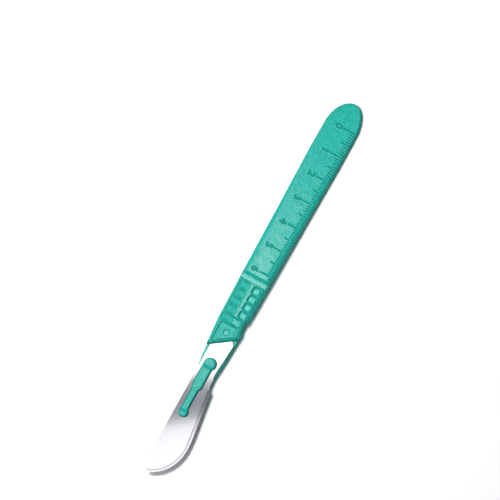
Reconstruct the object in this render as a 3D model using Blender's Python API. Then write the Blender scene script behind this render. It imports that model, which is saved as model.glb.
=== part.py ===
"""Disposable scalpel: a moulded plastic handle with a raised centimetre scale and a ribbed grip,
and a curved steel blade held on the handle's tongue by a headed boss through the blade's slot.

X runs from the butt to the blade's tip, Y points to the cutting edge and Z is up, through the
thickness. The scalpel lies on the handle's flat back, with the origin under the middle of it.
"""

import math

import bmesh
import bpy
from mathutils import Matrix, Vector
from mathutils.geometry import interpolate_bezier

MM = 0.001

# Handle in plan, with X counted from the butt
BUTT_LENGTH = 10.5 * MM
BUTT_HALF_WIDTH = 6.5 * MM
BUTT_NOSE_Y = 0.8 * MM
TAPER_START = 24.0 * MM
GRIP_HALF_WIDTH = 5.25 * MM

# Handle in side view
BUTT_THICKNESS = 2.1 * MM
GRIP_THICKNESS = 4.8 * MM
NECK_THICKNESS = 4.3 * MM
BUTT_NOSE_RADIUS = 0.6 * MM
THICKNESS_TO_GROOVE = 1.75 * MM

# Rounding of the long edges, which grows from the thin butt to the thick grip
THIN_EDGE_WIDTH = 0.45 * MM
THIN_EDGE_DEPTH = 0.3 * MM
THICK_EDGE_WIDTH = 1.4 * MM
THICK_EDGE_DEPTH = 1.0 * MM
NECK_EDGE_RADIUS = 0.6 * MM
ROUNDING_START = 18.0 * MM
ROUNDING_END = 46.0 * MM
LARGEST_ROUNDING_SHARE = 0.3
LARGEST_FACET_SHARE = 0.45
LARGEST_DEPTH_SHARE = 0.45

# Broad facet on the front, along the edge on the blade's spine side, with its lengths from the butt on
FACET_START_WIDTH = 0.8 * MM
FACET_RISE = 4.0 * MM
FACET_REAR_WIDTH = 1.8 * MM
FACET_GROWTH = 21.0 * MM
FACET_LENGTH = 14.0 * MM
FACET_TO_GROOVE = 7.75 * MM
FACET_WIDTH = 3.0 * MM
FACET_FULLNESS = 1.5

# Moulded centimetre scale on the front, of as many centimetres as the shank has room for
RULER_START = 9.7 * MM
RULER_INSET = 0.3 * MM
LINE_BASE_WIDTH = 0.6 * MM
LINE_TOP_WIDTH = 0.2 * MM
LINE_RELIEF = 0.2 * MM
MILLIMETRE_LINE = 2.0 * MM
HALF_LINE = 3.5 * MM
CENTIMETRE_LINE = 5.1 * MM

# Ribbed grip: cross ribs at an even pitch and one lengthways spine between two rows of pockets
GRIP_START = 75.15 * MM
GRIP_PITCH = 3.31 * MM
GRIP_PAIRS = 4
RIB_WIDTH = 0.6 * MM
SPINE_Y = 0.55 * MM
SPINE_WIDTH = 1.7 * MM
GRIP_RIM = 0.95 * MM
POCKET_INNER_DEPTH = 0.9 * MM
POCKET_OUTER_DEPTH = 0.25 * MM
POCKET_CORNER = 0.35 * MM
POCKET_DRAFT = 0.4 * MM
POCKET_FLARE = 0.12 * MM
POCKET_MOUTH_SHARE = 0.3
POCKET_FOOT_SHARE = 0.75
POCKET_FOOT_INSET = 0.1 * MM
GROOVE_LENGTH = 3.1 * MM
GROOVE_RAMP = 1.2 * MM
GROOVE_DEPTH = 0.8 * MM
NOTCH_DEPTH = 0.6 * MM
NOTCH_STEP = 0.2 * MM

# Neck panel behind the blade, with a round gate mark
NECK_STEP = 0.9 * MM
PANEL_DEPTH = 0.35 * MM
PANEL_HALF_WIDTH = 3.3 * MM
PANEL_ROUNDING = 0.25 * MM
LIP_WIDTH = 1.1 * MM
LIP_CHAMFER_RUN = 0.85 * MM
LIP_CHAMFER_DROP = 0.5 * MM
GATE_X_FROM_PANEL = 2.9 * MM
GATE_Y = 0.4 * MM
GATE_RADIUS = 1.1 * MM
GATE_FLARE = 0.3
GATE_DEPTH = 0.25 * MM

# Neck and tongue in plan, with lengths from the blade's rear corner
NECK_SPINE_LEDGE = 1.4 * MM
SHANK_SPINE_RUN = 10.3 * MM
SHANK_SPINE_LEDGE = 0.95 * MM
TONGUE_ROOT_RUN = 15.7 * MM
SHANK_EDGE_RUN = 7.3 * MM
SHANK_EDGE_Y = 4.95 * MM
WAIST_EDGE_LEDGE = 0.5 * MM
TONGUE_ROOT_EDGE_RUN = 17.7 * MM

# Blade, with lengths from its rear corner, and from the heel to the tip
BLADE_THICKNESS = 0.4 * MM
BLADE_REACH = 36.6 * MM
TIP_Y = -1.0 * MM
CLIP_RUN = 5.0 * MM
SPINE_EDGE_Y = -3.03 * MM
TANG_FROM_RIB = 5.0 * MM
TANG_REAR_Y = 3.74 * MM
TANG_SLANT_RUN = 4.7 * MM
TANG_CORNER_RUN = 1.4 * MM
TANG_CORNER_Y = 4.98 * MM
TANG_WAIST_RUN = 13.2 * MM
TANG_WAIST_Y = 4.07 * MM
HEEL_RUN = 19.7 * MM
HEEL_Y = 5.78 * MM
HEEL_STEP = 0.85 * MM
HEEL_UNDERCUT = 0.1 * MM
FLARE_RUN = 1.0 * MM
FLARE_Y = 4.55 * MM
BELLY_FROM_TIP = 14.1 * MM
BELLY_Y = 8.72 * MM
BELLY_TIP_PULL_X = 1.6 * MM
BELLY_TIP_PULL_Y = 5.6 * MM
BELLY_PULL = 6.5 * MM
BELLY_REAR_PULL = 5.0 * MM
HEEL_PULL_X = 8.0 * MM
HEEL_PULL_Y = 1.0 * MM
GRIND_WIDTH = 1.2 * MM
EDGE_LAND = 0.03 * MM

# Tongue under the blade, and the boss that holds it
SEAT_Z = 2.7 * MM
TONGUE_PAST_HEAD = 3.3 * MM
TONGUE_END_RADIUS = 2.3 * MM
TONGUE_HEEL_Z = 1.3 * MM
BOSS_Y = 0.65 * MM
BAR_Y = 0.25 * MM
BAR_ROOT = 0.5 * MM
REAR_HEAD_RUN = 11.1 * MM
REAR_HEAD_RADIUS = 2.4 * MM
REAR_HEAD_CHORD = 0.8 * MM
HEAD_SPACING = 19.9 * MM
FRONT_HEAD_RADIUS = 1.8 * MM
FRONT_HEAD_CHORD = 0.25 * MM
WIDE_BAR_HALF = 1.95 * MM
NARROW_BAR_HALF = 1.3 * MM
WIDE_BAR_LENGTH = 9.5 * MM
BAR_STEP_LENGTH = 1.2 * MM
BAR_HEIGHT = 0.7 * MM
BAR_EASE = 0.25 * MM
HEAD_HEIGHT = 1.15 * MM
HEAD_ROUND_WIDTH = 0.75 * MM
HEAD_ROUND_HEIGHT = 0.55 * MM
HEAD_RAMP = 1.2 * MM

# Clearances between the two pieces
SEAT_GAP = 0.25 * MM
SLOT_GAP = 0.25 * MM
REAR_GAP = 0.3 * MM

# Facets
CORNER_STEPS = 5
ARC_STEPS = 10
EDGE_STEPS = 14
HEAD_STEPS = 3
HEAD_SIDES = 32
GATE_SIDES = 28
BUTT_FIRST_ANGLE = math.radians(8)
SMOOTH_ANGLE = math.radians(35)

# Colours for a plain view
PLASTIC_COLOR = (0.03, 0.47, 0.39)
STEEL_COLOR = (0.6, 0.6, 0.62)

# Sizes that follow from the ones above
BLADE_BOTTOM = SEAT_Z + SEAT_GAP
BLADE_TOP = BLADE_BOTTOM + BLADE_THICKNESS
HEAD_BOTTOM = BLADE_TOP + SEAT_GAP
GROOVE_END = GRIP_START - RIB_WIDTH / 2
GROOVE_START = GROOVE_END - GROOVE_LENGTH
THICKNESS_END = GROOVE_START - THICKNESS_TO_GROOVE
FACET_END = GROOVE_START - FACET_TO_GROOVE
FACET_FULL = FACET_END - FACET_LENGTH
FACET_START = FACET_FULL - FACET_GROWTH
RULER_CENTIMETRES = int((GROOVE_START - RULER_START) / (10 * MM))
POCKET_OUTER = GRIP_HALF_WIDTH - GRIP_RIM
LAST_RIB = GRIP_START + (GRIP_PAIRS + 1) * GRIP_PITCH
PANEL_START = LAST_RIB + RIB_WIDTH / 2
TANG_REAR_X = LAST_RIB + TANG_FROM_RIB
TANG_WAIST_X = TANG_REAR_X + TANG_WAIST_RUN
HEEL_X = TANG_REAR_X + HEEL_RUN
TIP_X = HEEL_X + BLADE_REACH
REAR_HEAD_X = TANG_REAR_X + REAR_HEAD_RUN
FRONT_HEAD_X = REAR_HEAD_X + HEAD_SPACING
BAR_STEP_X = REAR_HEAD_X + WIDE_BAR_LENGTH
TONGUE_END = FRONT_HEAD_X + TONGUE_PAST_HEAD
NECK_END = TANG_REAR_X + TANG_SLANT_RUN
SHANK_SPINE_X = TANG_REAR_X + SHANK_SPINE_RUN
SHANK_EDGE_X = TANG_REAR_X + SHANK_EDGE_RUN
TONGUE_ROOT_X = TANG_REAR_X + TONGUE_ROOT_RUN
TONGUE_ROOT_EDGE_X = TANG_REAR_X + TONGUE_ROOT_EDGE_RUN
TIP = Vector((TIP_X, TIP_Y, 0))
BELLY = Vector((TIP_X - BELLY_FROM_TIP, BELLY_Y, 0))
HEEL = Vector((HEEL_X, HEEL_Y, 0))
TANG_REAR_CORNER = Vector((TANG_REAR_X, TANG_REAR_Y, 0))
TANG_REAR_SPINE = Vector((NECK_END, SPINE_EDGE_Y, 0))
TONGUE_END_CENTRE = TONGUE_END - TONGUE_END_RADIUS
FAR = 10 * MM
CUTTER_RISE = 2 * MM
SAME_PLACE = 0.004 * MM


def along(stations, x):
    """The value at x on the straight lines through the stations, each (x, value)."""
    for (x0, v0), (x1, v1) in zip(stations, stations[1:]):
        if x <= x1:
            share = max(0.0, (x - x0) / (x1 - x0))
            return v0 + share * (v1 - v0)
    return stations[-1][1]


def top_z(x):
    """Height of the handle's front face."""
    return along(
        [
            (0, BUTT_THICKNESS),
            (THICKNESS_END, GRIP_THICKNESS),
            (LAST_RIB, GRIP_THICKNESS),
            (NECK_END, NECK_THICKNESS),
        ],
        x,
    )


def bottom_z(x):
    """Height of the handle's back: flat, then cut away under the tongue."""
    return along([(SHANK_EDGE_X, 0), (TONGUE_END, TONGUE_HEEL_Z)], x)


def edge_width(x):
    """How far the rounding of the long edges reaches across the face."""
    return along(
        [
            (ROUNDING_START, THIN_EDGE_WIDTH),
            (ROUNDING_END, THICK_EDGE_WIDTH),
            (LAST_RIB, THICK_EDGE_WIDTH),
            (NECK_END, NECK_EDGE_RADIUS),
        ],
        x,
    )


def edge_depth(x):
    """How far the same rounding reaches down the side."""
    return along(
        [
            (ROUNDING_START, THIN_EDGE_DEPTH),
            (ROUNDING_END, THICK_EDGE_DEPTH),
            (LAST_RIB, THICK_EDGE_DEPTH),
            (NECK_END, NECK_EDGE_RADIUS),
        ],
        x,
    )


def facet_width(x):
    """Width of the front rounding on the spine side, which broadens to a facet before the grip."""
    if x < FACET_START - SAME_PLACE or x > GROOVE_START:
        return edge_width(x)
    return along(
        [
            (FACET_START, FACET_START_WIDTH),
            (FACET_START + FACET_RISE, FACET_REAR_WIDTH),
            (FACET_FULL, FACET_WIDTH),
            (FACET_END, FACET_WIDTH),
            (GROOVE_START, THICK_EDGE_WIDTH),
        ],
        x,
    )


def half_width(x):
    """Half width of the handle between the butt and the last rib, where it is symmetric."""
    return along([(TAPER_START, BUTT_HALF_WIDTH), (LAST_RIB, GRIP_HALF_WIDTH)], x)


def neck_sides():
    """Stations (x, y) of the neck and tongue, first on the blade's spine side, then its edge side."""
    spine_side = [
        (LAST_RIB, -GRIP_HALF_WIDTH),
        (NECK_END, SPINE_EDGE_Y - NECK_SPINE_LEDGE),
        (SHANK_SPINE_X, SPINE_EDGE_Y - SHANK_SPINE_LEDGE),
        (TONGUE_ROOT_X, SPINE_EDGE_Y),
        (TONGUE_END_CENTRE, BOSS_Y - TONGUE_END_RADIUS),
    ]
    edge_side = [
        (TANG_REAR_X, GRIP_HALF_WIDTH),
        (SHANK_EDGE_X, SHANK_EDGE_Y),
        (TANG_WAIST_X, TANG_WAIST_Y + WAIST_EDGE_LEDGE),
        (TONGUE_ROOT_EDGE_X, TANG_WAIST_Y),
        (TONGUE_END_CENTRE, BOSS_Y + TONGUE_END_RADIUS),
    ]
    return spine_side, edge_side


def handle_sides(x):
    """Limits of the handle in Y at x."""
    if x < LAST_RIB:
        low, high = -half_width(x), half_width(x)
        if x > LAST_RIB - GRIP_PITCH:
            high -= NOTCH_DEPTH
    else:
        spine_side, edge_side = neck_sides()
        low, high = along(spine_side, x), along(edge_side, x)
        if x < LAST_RIB + NECK_STEP:
            high -= NOTCH_DEPTH * (1 - (x - LAST_RIB) / NECK_STEP)
    if x < BUTT_LENGTH:
        run = 1 - x / BUTT_LENGTH
        share = math.sqrt(max(0.0, 1 - run**2))
        middle = BUTT_NOSE_Y * run
        low, high = middle + (low - middle) * share, middle + (high - middle) * share
    if x > TONGUE_END_CENTRE:
        run = min(1.0, (x - TONGUE_END_CENTRE) / TONGUE_END_RADIUS)
        half = TONGUE_END_RADIUS * math.sqrt(max(0.0, 1 - run * run))
        low, high = BOSS_Y - half, BOSS_Y + half
    return low, high


def corner(y, z, width, depth, start, fullness=2.0):
    """A rounded corner about (y, z), from the angle start; a fullness below 2 flattens it."""
    points = []
    for step in range(CORNER_STEPS + 1):
        angle = math.radians(start + 90 * step / CORNER_STEPS)
        across, up = math.cos(angle), math.sin(angle)
        reach = 2 / fullness
        points.append(
            (
                y + width * math.copysign(abs(across) ** reach, across),
                z + depth * math.copysign(abs(up) ** reach, up),
            )
        )
    return points


def section(x, place_x):
    """The handle's outline across X at x, as a ring that stands at place_x."""
    low, high = handle_sides(x)
    floor, roof = bottom_z(x), top_z(x)
    if x < BUTT_NOSE_RADIUS:
        drop = BUTT_NOSE_RADIUS - math.sqrt(BUTT_NOSE_RADIUS**2 - (BUTT_NOSE_RADIUS - x) ** 2)
        floor, roof = floor + drop, roof - drop
    # No rounding takes more than its share of the section.
    width = min(edge_width(x), LARGEST_ROUNDING_SHARE * (high - low))
    facet = min(facet_width(x), LARGEST_FACET_SHARE * (high - low))
    depth = min(edge_depth(x), LARGEST_DEPTH_SHARE * (roof - floor))
    ring = corner(high - width, roof - depth, width, depth, 0)
    ring += corner(low + facet, roof - depth, facet, depth, 90, FACET_FULLNESS)
    ring += corner(low + width, floor + depth, width, depth, 180)
    ring += corner(high - width, floor + depth, width, depth, 270)
    return [Vector((place_x, y, z)) for y, z in ring]


def handle_stations():
    """X of each section, closer together on the round ends and at each change of form."""
    butt = []
    for step in range(ARC_STEPS + 1):
        share = step / ARC_STEPS
        angle = BUTT_FIRST_ANGLE + (math.radians(90) - BUTT_FIRST_ANGLE) * share
        butt.append(BUTT_LENGTH * (1 - math.cos(angle)))
    tongue = []
    for step in range(1, ARC_STEPS):
        angle = math.radians(90) * step / ARC_STEPS
        tongue.append(TONGUE_END_CENTRE + TONGUE_END_RADIUS * math.sin(angle))
    notch = LAST_RIB - GRIP_PITCH
    spine_side, edge_side = neck_sides()
    breaks = [TAPER_START, ROUNDING_START, ROUNDING_END, THICKNESS_END, SHANK_EDGE_X]
    breaks += [FACET_START, FACET_START + FACET_RISE, FACET_FULL, FACET_END]
    breaks += [GROOVE_START, notch, notch + NOTCH_STEP, LAST_RIB, LAST_RIB + NECK_STEP]
    breaks += [x for x, _ in spine_side + edge_side]
    return sorted(set(round(x, 6) for x in butt + breaks + tongue))


def link(obj, collection, helper):
    collection.objects.link(obj)
    if helper:
        obj.hide_render = True
        obj.display_type = "WIRE"
    return obj


def mesh_object(name, bm, collection, helper=True):
    """Turns a bmesh into an object, with its normals facing out."""
    bmesh.ops.recalc_face_normals(bm, faces=bm.faces)
    mesh = bpy.data.meshes.new(name)
    bm.to_mesh(mesh)
    bm.free()
    return link(bpy.data.objects.new(name, mesh), collection, helper)


def loft(name, rings, collection, helper=True, rounding=0.0):
    """A closed solid through rings of equally many points."""
    bm = bmesh.new()
    rows = [[bm.verts.new(point) for point in ring] for ring in rings]
    count = len(rows[0])
    for lower, upper in zip(rows, rows[1:]):
        for i in range(count):
            j = (i + 1) % count
            bm.faces.new((lower[i], lower[j], upper[j], upper[i]))
    bm.faces.new(reversed(rows[0]))
    bm.faces.new(rows[-1])
    bmesh.ops.recalc_face_normals(bm, faces=bm.faces)
    if rounding:
        bmesh.ops.bevel(
            bm,
            geom=bm.edges[:],
            offset=rounding,
            segments=2,
            profile=0.5,
            affect="EDGES",
            clamp_overlap=True,
            material=-1,
        )
    return mesh_object(name, bm, collection, helper)


def level(points, z):
    """The plan points as a ring at height z."""
    return [Vector((p[0], p[1], z)) for p in points]


def rear_line_x(y, back):
    """X of the blade's slanted rear edge at y, moved back square to itself."""
    start, end = TANG_REAR_CORNER, TANG_REAR_SPINE
    slope = (end.x - start.x) / (end.y - start.y)
    return start.x + slope * (y - start.y) - back * math.hypot(1, slope)


def keyhole(grow):
    """Plan of the boss's bar: a wide stretch that steps down to a narrow one, with round ends."""
    wide, narrow = WIDE_BAR_HALF + grow, NARROW_BAR_HALF + grow
    points = []
    for step in range(ARC_STEPS + 1):
        angle = math.radians(90 + 180 * step / ARC_STEPS)
        points.append((REAR_HEAD_X + wide * math.cos(angle), BAR_Y + wide * math.sin(angle)))
    points.append((BAR_STEP_X, BAR_Y - wide))
    points.append((BAR_STEP_X + BAR_STEP_LENGTH, BAR_Y - narrow))
    for step in range(ARC_STEPS + 1):
        angle = math.radians(-90 + 180 * step / ARC_STEPS)
        points.append((FRONT_HEAD_X + narrow * math.cos(angle), BAR_Y + narrow * math.sin(angle)))
    points.append((BAR_STEP_X + BAR_STEP_LENGTH, BAR_Y + narrow))
    points.append((BAR_STEP_X, BAR_Y + wide))
    return points


def ruler_lines(collection):
    """The raised scale lines, one tapered bar each, lying along the sloping front face."""
    slope = (GRIP_THICKNESS - BUTT_THICKNESS) / THICKNESS_END
    tilt = Matrix.Rotation(-math.atan(slope), 4, "Y")
    # Each bar stands one relief height above the face and reaches half of that below it.
    root = LINE_RELIEF / 2
    height = LINE_RELIEF + root
    draft = LINE_BASE_WIDTH - LINE_TOP_WIDTH
    root_draft = draft * root / LINE_RELIEF
    root_width = LINE_BASE_WIDTH + root_draft
    bm = bmesh.new()
    for count in range(10 * RULER_CENTIMETRES + 1):
        x = RULER_START + count * MM
        length = MILLIMETRE_LINE
        if count % 10 == 0:
            length = CENTIMETRE_LINE
        elif count % 5 == 0:
            length = HALF_LINE
        outer = half_width(x) - edge_width(x)
        inner = half_width(x) - RULER_INSET - length
        span = outer - inner + root_draft
        bar = bmesh.ops.create_cube(bm, size=1)["verts"]
        top = [vert for vert in bar if vert.co.z > 0]
        bmesh.ops.scale(bm, verts=bar, vec=(root_width, span, height))
        narrow = (LINE_TOP_WIDTH / root_width, (span - draft - root_draft) / span, 1)
        bmesh.ops.scale(bm, verts=top, vec=narrow)
        middle_z = top_z(x) + (LINE_RELIEF - root) / 2
        place = Matrix.Translation((x, (outer + inner) / 2, middle_z))
        bmesh.ops.transform(bm, matrix=place @ tilt, verts=bar)
    return mesh_object("ruler_lines", bm, collection)


def boss(collection):
    """The bar through the blade's slot, with its long edges eased."""
    roof = BLADE_TOP + BAR_HEIGHT
    rings = [
        level(keyhole(0), SEAT_Z - BAR_ROOT),
        level(keyhole(0), roof - BAR_EASE),
        level(keyhole(-BAR_EASE), roof),
    ]
    return loft("boss_bar", rings, collection)


def boss_head(name, x, radius, chord, collection):
    """A round head over the blade with a rolled rim, sloped down to the bar beyond the chord."""
    roof = BLADE_TOP + HEAD_HEIGHT
    bar_roof = BLADE_TOP + BAR_HEIGHT
    profile = [(radius, HEAD_BOTTOM)]
    for step in range(HEAD_STEPS + 1):
        angle = math.radians(90) * step / HEAD_STEPS
        inset = HEAD_ROUND_WIDTH * (1 - math.cos(angle))
        drop = HEAD_ROUND_HEIGHT * (1 - math.sin(angle))
        profile.append((radius - inset, roof - drop))
    bm = bmesh.new()
    rows = []
    for ring_radius, z in profile:
        place = Matrix.Translation((x, BOSS_Y, z))
        made = bmesh.ops.create_circle(bm, segments=HEAD_SIDES, radius=ring_radius, matrix=place)
        rows.append([edge for edge in bm.edges if edge.verts[0] in made["verts"]])
    for lower, upper in zip(rows, rows[1:]):
        bmesh.ops.bridge_loops(bm, edges=lower + upper)
    bmesh.ops.holes_fill(bm, edges=[edge for edge in bm.edges if edge.is_boundary])
    towards_bar = math.copysign(1, chord)
    start = Vector((x + chord, BOSS_Y, roof))
    normal = Vector((towards_bar * (roof - bar_roof), 0, HEAD_RAMP)).normalized()
    everything = bm.verts[:] + bm.edges[:] + bm.faces[:]
    bmesh.ops.bisect_plane(bm, geom=everything, plane_co=start, plane_no=normal, clear_outer=True)
    bmesh.ops.holes_fill(bm, edges=[edge for edge in bm.edges if edge.is_boundary])
    return mesh_object(name, bm, collection)


def seat_cutter(collection):
    """Takes the neck down to the blade's seat, with a chamfered lip along the slanted end."""
    front = TONGUE_END + FAR
    above = GRIP_THICKNESS + FAR
    run_per_rise = LIP_CHAMFER_RUN / LIP_CHAMFER_DROP
    rings = [[], [], []]
    for y, at_front in ((-FAR, False), (-FAR, True), (FAR, True), (FAR, False)):
        base = top_z(rear_line_x(y, REAR_GAP)) - LIP_CHAMFER_DROP
        heights = (SEAT_Z, base, above)
        backs = (REAR_GAP, REAR_GAP, REAR_GAP + (above - base) * run_per_rise)
        for ring, z, back in zip(rings, heights, backs):
            x = front if at_front else rear_line_x(y, back)
            ring.append(Vector((x, y, z)))
    return loft("cut_blade_seat", rings, collection)


def pocket_plan(start, end, low, high, inset):
    """Plan of a pocket, inset all round, with cut corners and a point where the spine crosses."""
    x0, x1, y0, y1 = start + inset, end - inset, low + inset, high - inset
    cut = POCKET_CORNER
    points = [(x0 + cut, y0), (x1 - cut, y0), (x1, y0 + cut)]
    if low < SPINE_Y < high:
        points += [(x1, SPINE_Y)]
    points += [(x1, y1 - cut), (x1 - cut, y1), (x0 + cut, y1), (x0, y1 - cut)]
    if low < SPINE_Y < high:
        points += [(x0, SPINE_Y)]
    return points + [(x0, y0 + cut)]


def pocket_cutter(name, start, end, low, high, face_z, into, collection):
    """A pocket that deepens towards the spine, with a round floor edge and a flared mouth."""
    bm = bmesh.new()
    rows = []
    # Each level is the share of the full depth, how far the wall stands in there, and a rise.
    for share, inset, rise in (
        (1, POCKET_DRAFT, 0),
        (POCKET_FOOT_SHARE, POCKET_FOOT_INSET, 0),
        (POCKET_MOUTH_SHARE, 0, 0),
        (0, -POCKET_FLARE, 0),
        (0, -POCKET_FLARE, CUTTER_RISE),
    ):
        row = []
        for x, y in pocket_plan(start, end, low, high, inset):
            nearness = 1 - min(1.0, abs(y - SPINE_Y) / POCKET_OUTER)
            deepening = nearness * (POCKET_INNER_DEPTH - POCKET_OUTER_DEPTH)
            depth = share * (POCKET_OUTER_DEPTH + deepening)
            row.append(bm.verts.new((x, y, face_z + into * (depth - rise))))
        rows.append(row)
    count = len(rows[0])
    for lower, upper in zip(rows, rows[1:]):
        for i in range(count):
            j = (i + 1) % count
            bm.faces.new((lower[i], lower[j], upper[j], upper[i]))
    floor = bm.faces.new(rows[0])
    bm.faces.new(rows[-1])
    valley = [vert for vert in rows[0] if abs(vert.co.y - SPINE_Y) < SAME_PLACE]
    if len(valley) == 2:
        bmesh.utils.face_split(floor, *valley)
    return mesh_object(name, bm, collection)


def grip_cutters(collection):
    """Two rows of pockets beside the spine, then one undivided cell, on the front and the back."""
    for side, face_z, into in (("front", GRIP_THICKNESS, -1), ("back", 0, 1)):
        for cell in range(GRIP_PAIRS + 1):
            start = GRIP_START + cell * GRIP_PITCH + RIB_WIDTH / 2
            end = start + GRIP_PITCH - RIB_WIDTH
            rows = [
                (-POCKET_OUTER, SPINE_Y - SPINE_WIDTH / 2),
                (SPINE_Y + SPINE_WIDTH / 2, POCKET_OUTER),
            ]
            if cell == GRIP_PAIRS:
                rows = [(-POCKET_OUTER, POCKET_OUTER - NOTCH_DEPTH)]
            for row, (low, high) in enumerate(rows):
                name = f"cut_{side}_{cell}_{row}"
                pocket_cutter(name, start, end, low, high, face_z, into, collection)


def groove_cutter(collection):
    """The cross groove that ends the scale, ramped on the scale's side."""
    floor = GRIP_THICKNESS - GROOVE_DEPTH
    roof = GRIP_THICKNESS + FAR
    rise = FAR * GROOVE_RAMP / GROOVE_DEPTH
    profile = [
        (GROOVE_START - rise, roof),
        (GROOVE_START + GROOVE_RAMP, floor),
        (GROOVE_END, floor),
        (GROOVE_END, roof),
    ]
    rings = [[Vector((x, y, z)) for x, z in profile] for y in (-FAR, FAR)]
    return loft("cut_groove", rings, collection)


def panel_cutters(collection):
    """The sunk neck panel, which ends in parallel with the blade's rear edge, and its gate mark."""
    low, high = -PANEL_HALF_WIDTH, PANEL_HALF_WIDTH
    back = REAR_GAP + LIP_WIDTH
    rings = []
    for z_from_top in (-PANEL_DEPTH, FAR):
        corners = [
            (PANEL_START, low),
            (rear_line_x(low, back), low),
            (rear_line_x(high, back), high),
            (PANEL_START, high),
        ]
        rings.append([Vector((x, y, top_z(x) + z_from_top)) for x, y in corners])
    loft("cut_neck_panel", rings, collection, rounding=PANEL_ROUNDING)
    bm = bmesh.new()
    x = PANEL_START + GATE_X_FROM_PANEL
    floor = top_z(x) - PANEL_DEPTH - GATE_DEPTH
    bmesh.ops.create_cone(
        bm,
        cap_ends=True,
        segments=GATE_SIDES,
        radius1=GATE_RADIUS,
        radius2=GATE_RADIUS + GATE_FLARE * FAR,
        depth=FAR,
        matrix=Matrix.Translation((x, GATE_Y, floor + FAR / 2)),
    )
    mesh_object("cut_gate_mark", bm, collection)


def curve_points(start, leave, arrive, end, steps):
    """Points of a cubic curve, without its last one."""
    return interpolate_bezier(start, start + leave, end + arrive, end, steps)[:-1]


def blade_outline():
    """The blade's plan as (point, ground), where ground points lie on the cutting edge."""
    plain = [
        TANG_REAR_CORNER,
        TANG_REAR_SPINE,
        Vector((TIP_X - CLIP_RUN, SPINE_EDGE_Y, 0)),
    ]
    belly = curve_points(
        TIP,
        Vector((-BELLY_TIP_PULL_X, BELLY_TIP_PULL_Y, 0)),
        Vector((BELLY_PULL, 0, 0)),
        BELLY,
        EDGE_STEPS,
    )
    front = curve_points(
        BELLY,
        Vector((-BELLY_REAR_PULL, 0, 0)),
        Vector((HEEL_PULL_X, HEEL_PULL_Y, 0)),
        HEEL,
        EDGE_STEPS,
    )
    tang = [
        Vector((HEEL_X - HEEL_UNDERCUT, HEEL_Y - HEEL_STEP, 0)),
        Vector((HEEL_X - FLARE_RUN, FLARE_Y, 0)),
        Vector((TANG_WAIST_X, TANG_WAIST_Y, 0)),
        Vector((TANG_REAR_X + TANG_CORNER_RUN, TANG_CORNER_Y, 0)),
    ]
    outline = [(point, False) for point in plain]
    outline += [(point, True) for point in belly + front + [HEEL]]
    outline += [(point, False) for point in tang]
    return outline


def blade(collection):
    """The blade: flat faces, and a cutting edge ground from both sides to a fine land."""
    outline = blade_outline()
    count = len(outline)
    full, face = [], []
    for i, (point, ground) in enumerate(outline):
        before = outline[i - 1][0] if outline[i - 1][1] else point
        after = outline[(i + 1) % count][0] if outline[(i + 1) % count][1] else point
        full.append(point)
        if ground:
            run = (after - before).normalized()
            inward = Vector((-run.y, run.x, 0))
            face.append(point + inward * GRIND_WIDTH)
        else:
            face.append(point)
    middle = (BLADE_BOTTOM + BLADE_TOP) / 2
    rings = [
        level(face, BLADE_BOTTOM),
        level(full, middle - EDGE_LAND / 2),
        level(full, middle + EDGE_LAND / 2),
        level(face, BLADE_TOP),
    ]
    return loft("blade", rings, collection, helper=False)


def principled(name, color, roughness, metallic):
    material = bpy.data.materials.new(name)
    material.use_nodes = True
    shader = material.node_tree.nodes["Principled BSDF"]
    shader.inputs["Base Color"].default_value = (*color, 1)
    shader.inputs["Roughness"].default_value = roughness
    shader.inputs["Metallic"].default_value = metallic
    material.diffuse_color = (*color, 1)
    return material


def boolean(obj, name, operation, other):
    modifier = obj.modifiers.new(name, "BOOLEAN")
    modifier.operation = operation
    modifier.solver = "EXACT"
    if isinstance(other, bpy.types.Collection):
        modifier.operand_type = "COLLECTION"
        modifier.collection = other
    else:
        modifier.object = other


def child_collection(name, hidden):
    collection = bpy.data.collections.new(name)
    bpy.context.scene.collection.children.link(collection)
    collection.hide_render = hidden
    return collection


def shade(obj):
    obj.data.shade_smooth()
    obj.data.set_sharp_from_angle(angle=SMOOTH_ANGLE)


def build():
    for obj in list(bpy.data.objects):
        bpy.data.objects.remove(obj, do_unlink=True)
    parts = child_collection("scalpel", hidden=False)
    cutters = child_collection("scalpel_cutters", hidden=True)
    reliefs = child_collection("scalpel_reliefs", hidden=True)

    stations = handle_stations()
    first = stations[0]
    rings = [section(x, place_x=x if x > first else 0.0) for x in stations]
    handle = loft("handle", rings, parts, helper=False)
    seat_cutter(cutters)
    groove_cutter(cutters)
    grip_cutters(cutters)
    panel_cutters(cutters)
    ruler_lines(reliefs)
    boss(reliefs)
    boss_head("boss_rear_head", REAR_HEAD_X, REAR_HEAD_RADIUS, REAR_HEAD_CHORD, reliefs)
    boss_head("boss_front_head", FRONT_HEAD_X, FRONT_HEAD_RADIUS, -FRONT_HEAD_CHORD, reliefs)
    boolean(handle, "moulded_hollows", "DIFFERENCE", cutters)
    boolean(handle, "moulded_reliefs", "UNION", reliefs)
    shade(handle)
    handle.data.materials.append(principled("handle_plastic", PLASTIC_COLOR, 0.45, 0))

    steel = blade(parts)
    slot_rings = [level(keyhole(SLOT_GAP), z) for z in (SEAT_Z, HEAD_BOTTOM)]
    slot = loft("slot_cutter", slot_rings, child_collection("slot_cutters", hidden=True))
    boolean(steel, "keyhole_slot", "DIFFERENCE", slot)
    shade(steel)
    steel.data.materials.append(principled("blade_steel", STEEL_COLOR, 0.25, 1))

    origin = bpy.data.objects.new("scalpel_origin", None)
    parts.objects.link(origin)
    origin.location = (-TIP_X / 2, -(BELLY_Y - BUTT_HALF_WIDTH) / 2, 0)
    for obj in list(bpy.data.objects):
        if obj.type == "MESH":
            obj.parent = origin


build()
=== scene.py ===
import math

import bmesh
import bpy
from mathutils import Matrix, Vector


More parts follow.
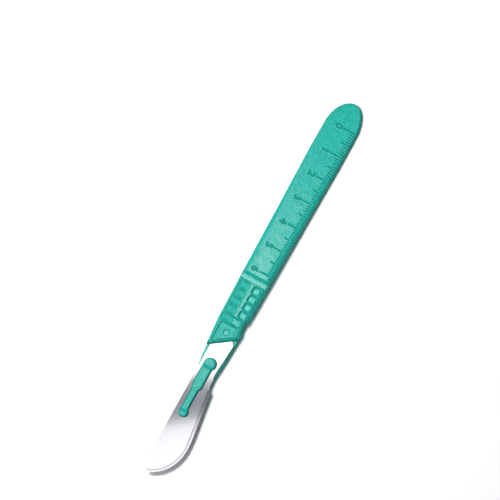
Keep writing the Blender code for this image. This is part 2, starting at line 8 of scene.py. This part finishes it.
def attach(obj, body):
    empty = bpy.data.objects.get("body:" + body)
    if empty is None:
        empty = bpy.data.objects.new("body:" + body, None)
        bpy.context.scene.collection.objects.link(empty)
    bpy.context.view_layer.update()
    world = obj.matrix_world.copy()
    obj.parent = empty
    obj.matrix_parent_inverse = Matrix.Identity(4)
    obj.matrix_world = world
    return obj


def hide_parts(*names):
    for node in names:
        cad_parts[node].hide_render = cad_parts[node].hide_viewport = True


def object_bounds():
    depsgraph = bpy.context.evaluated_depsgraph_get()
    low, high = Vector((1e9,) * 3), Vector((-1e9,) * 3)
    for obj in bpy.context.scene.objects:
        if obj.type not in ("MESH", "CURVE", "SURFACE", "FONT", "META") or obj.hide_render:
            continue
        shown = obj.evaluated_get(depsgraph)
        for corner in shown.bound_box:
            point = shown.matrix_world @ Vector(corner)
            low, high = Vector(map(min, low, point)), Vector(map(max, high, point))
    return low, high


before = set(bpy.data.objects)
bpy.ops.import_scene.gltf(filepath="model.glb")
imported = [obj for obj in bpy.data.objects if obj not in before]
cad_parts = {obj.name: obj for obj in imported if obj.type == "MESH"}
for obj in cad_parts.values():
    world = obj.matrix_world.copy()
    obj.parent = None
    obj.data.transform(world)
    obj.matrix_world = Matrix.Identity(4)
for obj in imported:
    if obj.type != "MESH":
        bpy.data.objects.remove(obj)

cadLow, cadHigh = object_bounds()
mm = 0.001
weldGap = 0.0001 * mm  # corners of a CAD mesh that are nearer than this are one corner

# The scalpel lies along X with the blade's tip at +X and the cutting edge towards +Y.

sceneCamera = {
    "target": (-11.84 * mm, -9.23 * mm, 0),  # the middle of the picture, on the floor
    "across": 182.15 * mm,  # width of the picture at the target
    "distance": 900 * mm,
    "tilt": 16,  # degrees towards the cutting edge
    "turn": -60.97,  # degrees between the picture's side and the handle
    "sensor": 36,
    "clip": (10 * mm, 10000 * mm),
}


def makeCamera():
    settings = sceneCamera
    tilt = math.radians(settings["tilt"])
    turn = math.radians(settings["turn"])
    data = bpy.data.cameras.new("camera")
    data.sensor_width = settings["sensor"]
    data.lens = settings["sensor"] * settings["distance"] / settings["across"]
    data.clip_start, data.clip_end = settings["clip"]
    camera = bpy.data.objects.new("camera", data)
    bpy.context.scene.collection.objects.link(camera)
    back = Vector((0, math.sin(tilt), math.cos(tilt)))
    level = Vector((1, 0, 0))
    rise = back.cross(level)
    right = level * -math.cos(turn) - rise * math.sin(turn)
    up = back.cross(right)
    axes = Matrix((right, up, back)).transposed().to_4x4()
    place = Vector(settings["target"]) + back * settings["distance"]
    camera.matrix_world = Matrix.Translation(place) @ axes
    bpy.context.scene.camera = camera


# In the helpers below, a value is a number or a colour, or else another node's output.

def setSocket(links, socket, value):
    if isinstance(value, bpy.types.NodeSocket):
        links.new(value, socket)
    else:
        socket.default_value = value


def mathNode(nodes, links, operation, values, clamp=False):
    node = nodes.new("ShaderNodeMath")
    node.operation = operation
    node.use_clamp = clamp
    for socket, value in zip(node.inputs, values):
        setSocket(links, socket, value)
    return node.outputs[0]


# from the first colour to the second as the share goes from 0 to 1
def colorMix(nodes, links, share, first, second, blend="MIX"):
    node = nodes.new("ShaderNodeMix")
    node.data_type = "RGBA"
    node.blend_type = blend
    for name, value in (("Factor", share), ("A", first), ("B", second)):
        setSocket(links, node.inputs[name], (*value, 1) if isinstance(value, tuple) else value)
    return node.outputs["Result"]


# from the first output to the second as the value goes from start to end
def mapRange(nodes, links, value, start, end, first=0, second=1):
    node = nodes.new("ShaderNodeMapRange")
    names = ("Value", "From Min", "From Max", "To Min", "To Max")
    for name, given in zip(names, (value, start, end, first, second)):
        setSocket(links, node.inputs[name], given)
    return node.outputs[0]


def noiseTexture(nodes, links, place, scale, detail, roughness=0.5):
    node = nodes.new("ShaderNodeTexNoise")
    names = ("Vector", "Scale", "Detail", "Roughness")
    for name, value in zip(names, (place, scale, detail, roughness)):
        setSocket(links, node.inputs[name], value)
    return node.outputs["Fac"]


def attribute(nodes, name):
    node = nodes.new("ShaderNodeAttribute")
    node.attribute_name = name
    return node.outputs["Fac"]


def newMaterial(name):
    material = bpy.data.materials.new(name)
    material.use_nodes = True
    tree = material.node_tree
    return material, tree.nodes, tree.links, tree.nodes["Principled BSDF"]


studio = {
    "floorSize": 3.0,
    "floorColor": (0.9, 0.9, 0.9),
    "floorSeen": 1.3,  # the paper's colour as the camera sees it, so its lit part is plain white
    "key": {
        "place": (-95 * mm, -108 * mm, 480 * mm),
        "size": (110 * mm, 110 * mm),
        "power": 1.35,
        "mirrored": False,  # its reflection would drown the relief in sheen
    },
    # three soft panels hang level; the handle's flat faces mirror the first, as a sheen
    "sheenPanel": {
        "place": (-9 * mm, -225 * mm, 400 * mm),
        "size": (62 * mm, 350 * mm),
        "power": 0.64,
        "turn": 0,
        "color": (1.0, 0.96, 0.88),
    },
    # the steel mirrors the other two, with a darker gap between them
    "gripPanel": {
        "place": (37 * mm, -124 * mm, 400 * mm),
        "size": (50 * mm, 90 * mm),
        "power": 0.022,
        "turn": 17,
        "color": (1.0, 0.96, 0.88),
    },
    "tipPanel": {
        "place": (183 * mm, -35 * mm, 400 * mm),
        "size": (246 * mm, 246 * mm),
        "power": 0.182,
        "round": True,
        "turn": 0,
        "color": (1.0, 0.99, 0.97),
    },
    "skyTop": (0.365, 0.38, 0.42),
    "skySide": (0.05, 0.052, 0.057),
    "skyAxis": (0.1, -0.35, 0.93),  # where the sky is palest
    "skyFall": 6,  # how fast it darkens away from there
    "skyLow": (1.0, 1.0, 1.0),  # added towards the horizon where it is seen; it lights nothing
    "lowFall": 3,  # how fast that fades with height
}


# 1 for rays that show a background directly, in steel or through glass
def showingRays(nodes, links):
    path = nodes.new("ShaderNodeLightPath")
    showing = path.outputs["Is Camera Ray"]
    for also in ("Is Glossy Ray", "Is Transmission Ray"):
        showing = mathNode(nodes, links, "MAXIMUM", (showing, path.outputs[also]))
    return showing


# a panel with a turn hangs level; any other lamp points at the middle of the scalpel
def areaLight(name):
    settings = studio[name]
    data = bpy.data.lights.new(name, "AREA")
    data.shape = "DISK" if settings.get("round") else "RECTANGLE"
    data.size, data.size_y = settings["size"]
    data.energy = settings["power"]
    data.color = settings.get("color", (1, 1, 1))
    light = bpy.data.objects.new(name, data)
    bpy.context.scene.collection.objects.link(light)
    light.location = settings["place"]
    light.visible_glossy = settings.get("mirrored", True)
    if "turn" in settings:
        light.rotation_euler = (0, 0, math.radians(settings["turn"]))
    else:
        light.rotation_euler = Vector(settings["place"]).to_track_quat("Z", "Y").to_euler()


def makeFloor():
    bm = bmesh.new()
    bmesh.ops.create_grid(bm, x_segments=1, y_segments=1, size=studio["floorSize"] / 2)
    mesh = bpy.data.meshes.new("floor")
    bm.to_mesh(mesh)
    bm.free()
    floor = bpy.data.objects.new("floor", mesh)
    bpy.context.scene.collection.objects.link(floor)
    material, nodes, links, shader = newMaterial("floor_paper")
    shader.inputs["Base Color"].default_value = (*studio["floorColor"], 1)
    shader.inputs["Roughness"].default_value = 1
    shader.inputs["Specular IOR Level"].default_value = 0
    seen = nodes.new("ShaderNodeBsdfDiffuse")
    seen.inputs["Color"].default_value = (*[studio["floorSeen"]] * 3, 1)
    mix = nodes.new("ShaderNodeMixShader")
    links.new(showingRays(nodes, links), mix.inputs[0])
    links.new(shader.outputs[0], mix.inputs[1])
    links.new(seen.outputs[0], mix.inputs[2])
    links.new(mix.outputs[0], nodes["Material Output"].inputs["Surface"])
    mesh.materials.append(material)


# a sky that is pale overhead and dark at the sides, as a photographer's tent is
def makeSky():
    world = bpy.data.worlds.new("studio")
    world.use_nodes = True
    nodes, links = world.node_tree.nodes, world.node_tree.links
    place = nodes.new("ShaderNodeTexCoord")
    near = nodes.new("ShaderNodeVectorMath")
    near.operation = "DOT_PRODUCT"
    near.inputs[1].default_value = studio["skyAxis"]
    links.new(place.outputs["Generated"], near.inputs[0])
    above = mathNode(nodes, links, "MAXIMUM", (near.outputs["Value"], 0))
    share = mathNode(nodes, links, "POWER", (above, studio["skyFall"]))
    sky = colorMix(nodes, links, share, studio["skySide"], studio["skyTop"])
    height = nodes.new("ShaderNodeSeparateXYZ")
    links.new(place.outputs["Generated"], height.inputs[0])
    below = mathNode(nodes, links, "SUBTRACT", (1, height.outputs["Z"]), clamp=True)
    low = mathNode(nodes, links, "POWER", (below, studio["lowFall"]))
    seen = mathNode(nodes, links, "MULTIPLY", (low, showingRays(nodes, links)))
    paled = colorMix(nodes, links, seen, sky, studio["skyLow"], blend="ADD")
    links.new(paled, nodes["Background"].inputs["Color"])
    bpy.context.scene.world = world


def makeStudio():
    makeFloor()
    makeSky()
    for name in ("key", "sheenPanel", "gripPanel", "tipPanel"):
        areaLight(name)


def mergedCopy(node):
    bm = bmesh.new()
    bm.from_mesh(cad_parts[node].data)
    bmesh.ops.remove_doubles(bm, verts=bm.verts, dist=weldGap)
    return bm


def finishedPiece(name, mesh, node, material):
    piece = bpy.data.objects.new(name, mesh)
    bpy.context.scene.collection.objects.link(piece)
    mesh.materials.clear()
    mesh.materials.append(material)
    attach(piece, "root")
    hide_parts(node)


handleMoulding = {
    "buttHeight": 2.1 * mm,  # of the plain front face, at the butt
    "faceRise": 2.7 / 70,  # slope of that face towards the blade
    "middle": -1.11 * mm,  # Y of the butt's middle line
    "halfWidth": 6.5 * mm,  # from there to the handle's edge
    "taperStart": 24 * mm,  # from the butt
    "taperSlope": 1.25 / 67.7,
    "scaleStart": -66.8 * mm,  # X of the scale's nought
    "scaleLength": 61 * mm,  # with the thickness of its last line
    "longLine": 5.4 * mm,  # from the handle's edge to the inner end of a centimetre line
    "digits": 7,
    "digitStep": 10 * mm,
    "digitTop": -0.5 * mm,  # from the inner end of the centimetre line
    "digitHeight": 2.8 * mm,
    "digitRelief": 0.2 * mm,  # as much again is sunk in the face
    "digitBoldness": 0.015,  # this and the next two are in the typeface's own units
    "digitDepth": 0.2,
    "digitWeld": 0.0001,
    "grid": 0.1 * mm,  # spacing of the fine mesh that softens every moulded edge
    "smoothing": 2,  # rounds of smoothing for it
    "smoothFactor": 0.5,
    "kept": 0.235,  # share of its triangles left after thinning
    "edgeSteps": 3,  # rounds of smoothing that find ridges and creases, by how far they move
    "edgeFull": 0.012 * mm,  # how far a full ridge moves
    "creaseShare": 0.15,  # how much a crease counts, where a ridge is 1
    "scaleShade": 0.75,  # how much the raised scale counts towards the painted shade
    "edgeBlur": 2,  # rounds of blurring the marks over their neighbours
}


# height of the plain front face above the floor
def faceHeight(x):
    return handleMoulding["buttHeight"] + (x - cadLow.x) * handleMoulding["faceRise"]


def addDigit(bm, value):
    settings = handleMoulding
    curve = bpy.data.curves.new("digit", "FONT")
    curve.body = str(value)
    curve.extrude = settings["digitDepth"]
    curve.offset = settings["digitBoldness"]
    text = bpy.data.objects.new("digit", curve)
    bpy.context.scene.collection.objects.link(text)
    graph = bpy.context.evaluated_depsgraph_get()
    mesh = bpy.data.meshes.new_from_object(text.evaluated_get(graph))
    bpy.data.objects.remove(text)
    digit = bmesh.new()
    digit.from_mesh(mesh)
    bmesh.ops.remove_doubles(digit, verts=digit.verts, dist=settings["digitWeld"])
    low = [min(vert.co[axis] for vert in digit.verts) for axis in range(3)]
    high = [max(vert.co[axis] for vert in digit.verts) for axis in range(3)]
    topMiddle = Vector(((low[0] + high[0]) / 2, high[1], high[2]))
    relief = settings["digitRelief"]
    size = settings["digitHeight"] / (high[1] - low[1])
    depth = 2 * relief / (high[2] - low[2])
    x = settings["scaleStart"] + value * settings["digitStep"]
    tapered = max(0.0, x - cadLow.x - settings["taperStart"]) * settings["taperSlope"]
    lineEnd = settings["halfWidth"] - tapered - settings["longLine"] + settings["middle"]
    place = Matrix.Translation((x, lineEnd + settings["digitTop"], faceHeight(x) + relief))
    place = place @ Matrix.Rotation(-math.atan(settings["faceRise"]), 4, "Y")
    place = place @ Matrix.Diagonal((size, size, depth, 1))
    bmesh.ops.transform(digit, matrix=place @ Matrix.Translation(-topMiddle), verts=digit.verts)
    digit.to_mesh(mesh)
    digit.free()
    bm.from_mesh(mesh)
    bpy.data.meshes.remove(mesh)


# two attributes for the plastic: "edge" is 0 on the flats and 1 on ridges and corners, with the
# raised scale marked too, and sets where the material paints shade into the colour and adds
# roughness; "upright" is 0 on level faces and 1 on walls
def markSurface(mesh):
    settings = handleMoulding
    bm = bmesh.new()
    bm.from_mesh(mesh)
    before = [(vert.co.copy(), vert.normal.copy()) for vert in bm.verts]
    everyAxis = {"use_axis_x": True, "use_axis_y": True, "use_axis_z": True}
    for step in range(settings["edgeSteps"]):
        bmesh.ops.smooth_vert(bm, verts=bm.verts, factor=settings["smoothFactor"], **everyAxis)
    scaleEnd = settings["scaleStart"] + settings["scaleLength"]
    marks = []
    for vert, (place, normal) in zip(bm.verts, before):
        moved = (place - vert.co).dot(normal)
        mark = max(moved, -moved * settings["creaseShare"]) / settings["edgeFull"]
        # the raised scale's strokes are marked for painted shade as well
        if place.x < scaleEnd:
            raised = (place.z - faceHeight(place.x)) / settings["digitRelief"]
            mark = max(mark, raised * settings["scaleShade"])
        marks.append(min(1.0, max(0.0, mark)))
    around = [[edge.other_vert(vert).index for edge in vert.link_edges] for vert in bm.verts]
    bm.free()
    for step in range(settings["edgeBlur"]):
        means = [sum(marks[i] for i in beside) / len(beside) for beside in around]
        marks = [(mark + mean) / 2 for mark, mean in zip(marks, means)]
    upright = [1 - abs(normal.z) for place, normal in before]
    for name, values in (("edge", marks), ("upright", upright)):
        mesh.attributes.new(name, "FLOAT", "POINT").data.foreach_set("value", values)


def makeHandle():
    settings = handleMoulding
    bm = mergedCopy("handle")
    for value in range(settings["digits"]):
        addDigit(bm, value)
    mesh = bpy.data.meshes.new("handle_blank")
    bm.to_mesh(mesh)
    bm.free()
    blank = bpy.data.objects.new("handle_blank", mesh)
    bpy.context.scene.collection.objects.link(blank)
    remesh = blank.modifiers.new("oneSkin", "REMESH")
    remesh.mode = "VOXEL"
    remesh.voxel_size = settings["grid"]
    smooth = blank.modifiers.new("softEdges", "SMOOTH")
    smooth.factor = settings["smoothFactor"]
    smooth.iterations = settings["smoothing"]
    thin = blank.modifiers.new("fewerFaces", "DECIMATE")
    thin.ratio = settings["kept"]
    graph = bpy.context.evaluated_depsgraph_get()
    finished = bpy.data.meshes.new_from_object(blank.evaluated_get(graph))
    bpy.data.objects.remove(blank)
    finished.shade_smooth()
    markSurface(finished)
    triangles = sum(len(face.vertices) - 2 for face in finished.polygons)
    print("handle skin has", triangles, "triangles")
    finishedPiece("handle_moulding", finished, "handle", plasticMaterial())


handlePlastic = {
    "color": (0.0, 0.435, 0.365),
    "paler": (0.02, 0.57, 0.48),  # in the pale parts of a fine mottle
    "mottleScale": 1500,
    "mottleDetail": 2,
    "mottleRange": (0.4, 0.6),  # of the noise, from the one colour to the other
    "edge": (0.0, 0.25, 0.2),  # painted shade: a darker colour on the ridges, creases and raised scale, standing in for the shade that falls there
    "roughness": 0.23,
    "sideRoughness": 0.9,  # of the upright walls, which were drawn along the mould
    "sideStart": 0.5,  # how upright a face is before it starts to be a wall
    "edgeRoughness": 0.6,  # added on ridges and on the scale
    "specular": 0.5,
    "grainScale": 400,
    "grainDetail": 4,
    "grainRoughness": 0.6,
    "grainDepth": 0.12 * mm,
}


def plasticMaterial():
    settings = handlePlastic
    material, nodes, links, shader = newMaterial("handle_plastic")
    place = nodes.new("ShaderNodeTexCoord").outputs["Object"]
    edge = attribute(nodes, "edge")
    mottle = noiseTexture(nodes, links, place, settings["mottleScale"], settings["mottleDetail"])
    mottled = mapRange(nodes, links, mottle, *settings["mottleRange"])
    tint = colorMix(nodes, links, mottled, settings["color"], settings["paler"])
    # painted shade: the ridges, creases and raised scale are darkened in the colour itself
    shadePaintedTint = colorMix(nodes, links, edge, tint, settings["edge"])
    links.new(shadePaintedTint, shader.inputs["Base Color"])
    grainSettings = (settings["grainScale"], settings["grainDetail"], settings["grainRoughness"])
    grain = noiseTexture(nodes, links, place, *grainSettings)
    bump = nodes.new("ShaderNodeBump")
    bump.inputs["Strength"].default_value = 1
    bump.inputs["Distance"].default_value = settings["grainDepth"]
    links.new(grain, bump.inputs["Height"])
    links.new(bump.outputs["Normal"], shader.inputs["Normal"])
    ends = (settings["roughness"], settings["sideRoughness"])
    rough = mapRange(nodes, links, attribute(nodes, "upright"), settings["sideStart"], 1, *ends)
    values = (edge, settings["edgeRoughness"], rough)
    added = mathNode(nodes, links, "MULTIPLY_ADD", values, clamp=True)
    links.new(added, shader.inputs["Roughness"])
    shader.inputs["Specular IOR Level"].default_value = settings["specular"]
    return material


scalpelBlade = {
    "levelTurn": 1,  # degrees; faces that turn less than this are joined
    "sharpTurn": 30,  # degrees; an edge that turns more than this stays sharp
    "flatFace": 0.999,  # how level the flats are at least, where a level face is 1
    "groundFace": 0.9,  # how level the ground bevels are at least
}


def faceKind(face):
    level = abs(face.normal.z)
    if level > scalpelBlade["flatFace"]:
        return "flat"
    return "ground" if level > scalpelBlade["groundFace"] else "rim"


def makeBlade():
    settings = scalpelBlade
    bm = mergedCopy("blade")
    levelTurn = math.radians(settings["levelTurn"])
    bmesh.ops.dissolve_limit(bm, angle_limit=levelTurn, verts=bm.verts, edges=bm.edges)
    kinds = {face: faceKind(face) for face in bm.faces}
    # 0 where the bevel starts and 1 at the cutting edge
    ground = bm.verts.layers.float.new("ground")
    for vert in bm.verts:
        touched = {kinds[face] for face in vert.link_faces}
        vert[ground] = 1.0 if "ground" in touched and "flat" not in touched else 0.0
    for edge in bm.edges:
        sides = {kinds[face] for face in edge.link_faces}
        sharp = edge.calc_face_angle(0) > math.radians(settings["sharpTurn"])
        edge.smooth = len(sides) == 1 and not sharp
    for face in bm.faces:
        face.smooth = True
    mesh = bpy.data.meshes.new("blade_steel")
    bm.to_mesh(mesh)
    bm.free()
    finishedPiece("scalpel_blade", mesh, "blade", steelMaterial())


bladeSteel = {
    "color": (0.67, 0.67, 0.69),
    "duller": (0.61, 0.61, 0.635),
    "polishScale": 5000,
    "polishDetail": 2,
    "polishStretch": 0.03,  # scale of the polishing marks along their own length
    "polishTurn": 12,  # degrees
    "line": (0.1, 0.1, 0.12),  # the fine dark line where the ground bevel starts
    "lineShare": 0.32,  # its place, as a share of the way from the flat to the cutting edge
    "lineWidth": 0.14,
    "roughness": 0.075,
    "groundRoughness": 0.09,
}


def steelMaterial():
    settings = bladeSteel
    material, nodes, links, shader = newMaterial("blade_steel")
    place = nodes.new("ShaderNodeTexCoord")
    stretch = nodes.new("ShaderNodeMapping")
    stretch.inputs["Scale"].default_value = (1, settings["polishStretch"], 1)
    stretch.inputs["Rotation"].default_value = (0, 0, math.radians(settings["polishTurn"]))
    links.new(place.outputs["Object"], stretch.inputs["Vector"])
    polishSettings = (settings["polishScale"], settings["polishDetail"])
    polish = noiseTexture(nodes, links, stretch.outputs[0], *polishSettings)
    tint = colorMix(nodes, links, polish, settings["duller"], settings["color"])
    ground = attribute(nodes, "ground")
    share, width = settings["lineShare"], settings["lineWidth"]
    line = nodes.new("ShaderNodeValToRGB")
    start, end = line.color_ramp.elements
    start.position, end.position = share - width, share + width
    start.color = end.color = (0, 0, 0, 1)
    line.color_ramp.elements.new(share).color = (1, 1, 1, 1)
    links.new(ground, line.inputs["Fac"])
    lined = colorMix(nodes, links, line.outputs["Color"], tint, settings["line"])
    links.new(lined, shader.inputs["Base Color"])
    ends = (settings["roughness"], settings["groundRoughness"])
    links.new(mapRange(nodes, links, ground, 0, share, *ends), shader.inputs["Roughness"])
    shader.inputs["Metallic"].default_value = 1
    return material


makeCamera()
makeStudio()
print("camera and studio ready")
makeHandle()
print("handle ready")
makeBlade()
print("blade ready")

bpy.context.scene.view_settings.view_transform = "Standard"
